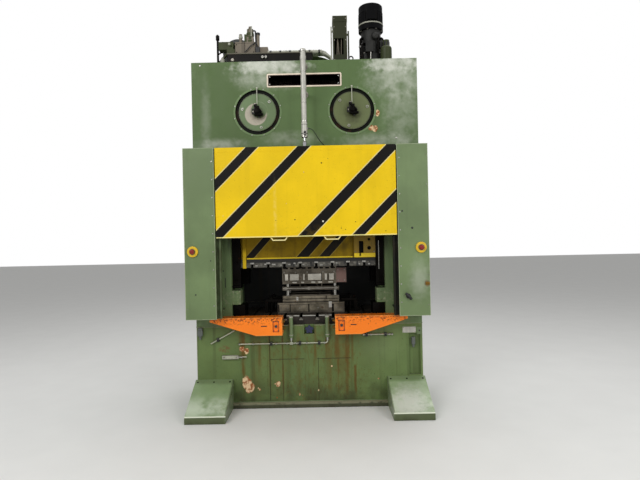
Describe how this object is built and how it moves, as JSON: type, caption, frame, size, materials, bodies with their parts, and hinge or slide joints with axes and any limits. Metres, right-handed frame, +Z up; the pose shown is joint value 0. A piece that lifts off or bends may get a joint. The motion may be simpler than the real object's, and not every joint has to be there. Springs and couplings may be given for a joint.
{
  "type": "mechanical stamping press",
  "caption": "Straight-side stamping press with a T-slotted table, guided slide on eccentric shafts, lifting front guard, flywheel drive and side windows for strip.",
  "frame": {"origin": "on the floor under the bolster's centre, in the middle of the anchor hole pattern", "axes": "+X to the operator's right, +Y to the back, +Z up; the operator stands at -Y"},
  "size_m": [2.034, 1.511, 3.643],
  "materials": {
    "frame_green": "old satin machine paint, stained low on the bed",
    "cover_green": "satin paint on sheet",
    "dark_steel": "black oiled",
    "ground_steel": "ground and oily",
    "bright_screws": "zinc",
    "yellow_paint": "satin safety yellow with black diagonal stripes",
    "pale_aluminium": "satin tube",
    "chrome_rod": "polished",
    "black_rubber": "matt",
    "housing_iron": "machined face, oily",
    "forged_steel": "turned",
    "union_steel": "zinc and brass, dusty",
    "cast_iron": "cast, oiled",
    "grey_paint": "dark machine paint",
    "orange_paint": "satin orange",
    "black_plastic": "matt",
    "yellow_plastic": "satin",
    "red_plastic": "satin",
    "pipe_steel": "zinc, oily",
    "grey_plastic": "matt",
    "blue_plastic": "matt",
    "plate_aluminium": "brushed, bare",
    "spring_steel": "oiled",
    "beige_paint": "satin"
  },
  "bodies": {
    "frame": {"base_plate": "frame_green", "bed": "frame_green", "upright_right": "frame_green", "upright_left": "frame_green", "crown": "frame_green", "tie_rods": "dark_steel", "bolster": "ground_steel", "bolster_clamps": "dark_steel", "gibs": "dark_steel", "foot_covers": "cover_green", "front_cover_right": "cover_green", "front_cover_left": "cover_green", "panel_screws": "bright_screws", "guard_rails": "dark_steel", "guard_cylinder": "pale_aluminium", "guard_hose": "black_rubber", "bearing_housings": "housing_iron", "rotary_unions": "union_steel", "gear_case": "frame_green", "drive_belts": "black_rubber", "belt_guard": "cover_green", "main_motor": "grey_paint", "control_arm_right": "orange_paint", "control_arm_left": "orange_paint", "estop_plates": "yellow_plastic", "lift_cylinders": "dark_steel", "front_pipes": "pipe_steel", "wall_sockets": "grey_plastic", "name_plate": "plate_aluminium", "rear_guard": "dark_steel", "die_base": "ground_steel", "die_block": "ground_steel", "guide_pillars": "chrome_rod", "oil_tank": "frame_green", "valve_box": "beige_paint", "cable_tower": "frame_green", "pump_unit": "cast_iron", "pump_motor": "grey_paint", "air_vessel": "frame_green", "conduit": "grey_plastic"},
    "slide": {"slide": "yellow_paint", "slide_plate": "ground_steel", "switch_box": "yellow_paint", "upper_die": "ground_steel", "die_springs": "spring_steel"},
    "stripper": {"stripper_plate": "ground_steel"},
    "shaft_right": {"eccentric_shaft_right": "forged_steel"},
    "shaft_left": {"eccentric_shaft_left": "forged_steel"},
    "rod_right": {"connecting_rod_right": "cast_iron"},
    "rod_left": {"connecting_rod_left": "cast_iron"},
    "drive_shaft": {"drive_shaft": "forged_steel"},
    "flywheel": {"flywheel": "cast_iron"},
    "motor_rotor": {"motor_rotor": "forged_steel"},
    "guard": {"guard_panel": "yellow_paint", "guard_rod": "chrome_rod"},
    "estop_right": {"estop_knob_right": "red_plastic"},
    "estop_left": {"estop_knob_left": "red_plastic"},
    "start_right": {"start_button_right": "black_plastic"},
    "start_left": {"start_button_left": "black_plastic"},
    "star_knob": {"star_knob": "blue_plastic"}
  },
  "joints": [
    {"name": "crank_turn", "type": "hinge", "parent": "frame", "child": "shaft_right", "pos_m": [0.414, 0, 2.586], "axis": [0, 1, 0], "range_deg": [0, 180]},
    {"name": "crank_turn_left", "type": "hinge", "parent": "frame", "child": "shaft_left", "pos_m": [-0.414, 0, 2.586], "axis": [0, 1, 0], "range_deg": [-180, 0]},
    {"name": "slide_stroke", "type": "slide", "parent": "frame", "child": "slide", "axis": [0, 0, 1], "range_m": [-0.04, 0]},
    {"name": "rod_right_swing", "type": "hinge", "parent": "shaft_right", "child": "rod_right", "pos_m": [0.414, 0, 2.606], "axis": [0, 1, 0], "range_deg": [-180, 0]},
    {"name": "rod_left_swing", "type": "hinge", "parent": "shaft_left", "child": "rod_left", "pos_m": [-0.414, 0, 2.606], "axis": [0, 1, 0], "range_deg": [0, 180]},
    {"name": "pinion_turn", "type": "hinge", "parent": "frame", "child": "drive_shaft", "pos_m": [0.04, 0, 2.93273], "axis": [0, 1, 0], "range_deg": [-776.25, 0]},
    {"name": "flywheel_spin", "type": "hinge", "parent": "frame", "child": "flywheel", "pos_m": [0.04, 0.65, 2.93273], "axis": [0, 1, 0], "continuous": true},
    {"name": "motor_spin", "type": "hinge", "parent": "frame", "child": "motor_rotor", "pos_m": [-0.63, 0.3, 3.227], "axis": [0, 1, 0], "continuous": true},
    {"name": "guard_lift", "type": "slide", "parent": "frame", "child": "guard", "axis": [0, 0, 1], "range_m": [-0.56, 0]},
    {"name": "stripper_lift", "type": "slide", "parent": "slide", "child": "stripper", "axis": [0, 0, 1], "range_m": [0, 0.02], "stiffness_N_per_m": 40000, "springref_m": -0.03, "deforming": ["die_springs"]},
    {"name": "estop_right_press", "type": "slide", "parent": "frame", "child": "estop_right", "axis": [0, 1, 0], "range_m": [0, 0.006]},
    {"name": "estop_left_press", "type": "slide", "parent": "frame", "child": "estop_left", "axis": [0, 1, 0], "range_m": [0, 0.006]},
    {"name": "start_right_press", "type": "slide", "parent": "frame", "child": "start_right", "axis": [0, 1, 0], "range_m": [0, 0.004], "stiffness_N_per_m": 1000, "springref_m": -0.001},
    {"name": "start_left_press", "type": "slide", "parent": "frame", "child": "start_left", "axis": [0, 1, 0], "range_m": [0, 0.004], "stiffness_N_per_m": 1000, "springref_m": -0.001},
    {"name": "star_knob_turn", "type": "hinge", "parent": "frame", "child": "star_knob", "pos_m": [0, -0.34, 0.673], "axis": [0, 1, 0], "range_deg": [-180, 180]}
  ],
  "couplings": [
    {"joint": "crank_turn_left", "follows": "crank_turn", "ratio": -1},
    {"joint": "slide_stroke", "follows": "crank_turn", "m_per_rad": -0.012732},
    {"joint": "rod_right_swing", "follows": "crank_turn", "ratio": -1},
    {"joint": "rod_left_swing", "follows": "crank_turn", "ratio": 1},
    {"joint": "pinion_turn", "follows": "crank_turn", "ratio": -4.3125},
    {"joint": "motor_spin", "follows": "flywheel_spin", "ratio": 5.0092}
  ]
}
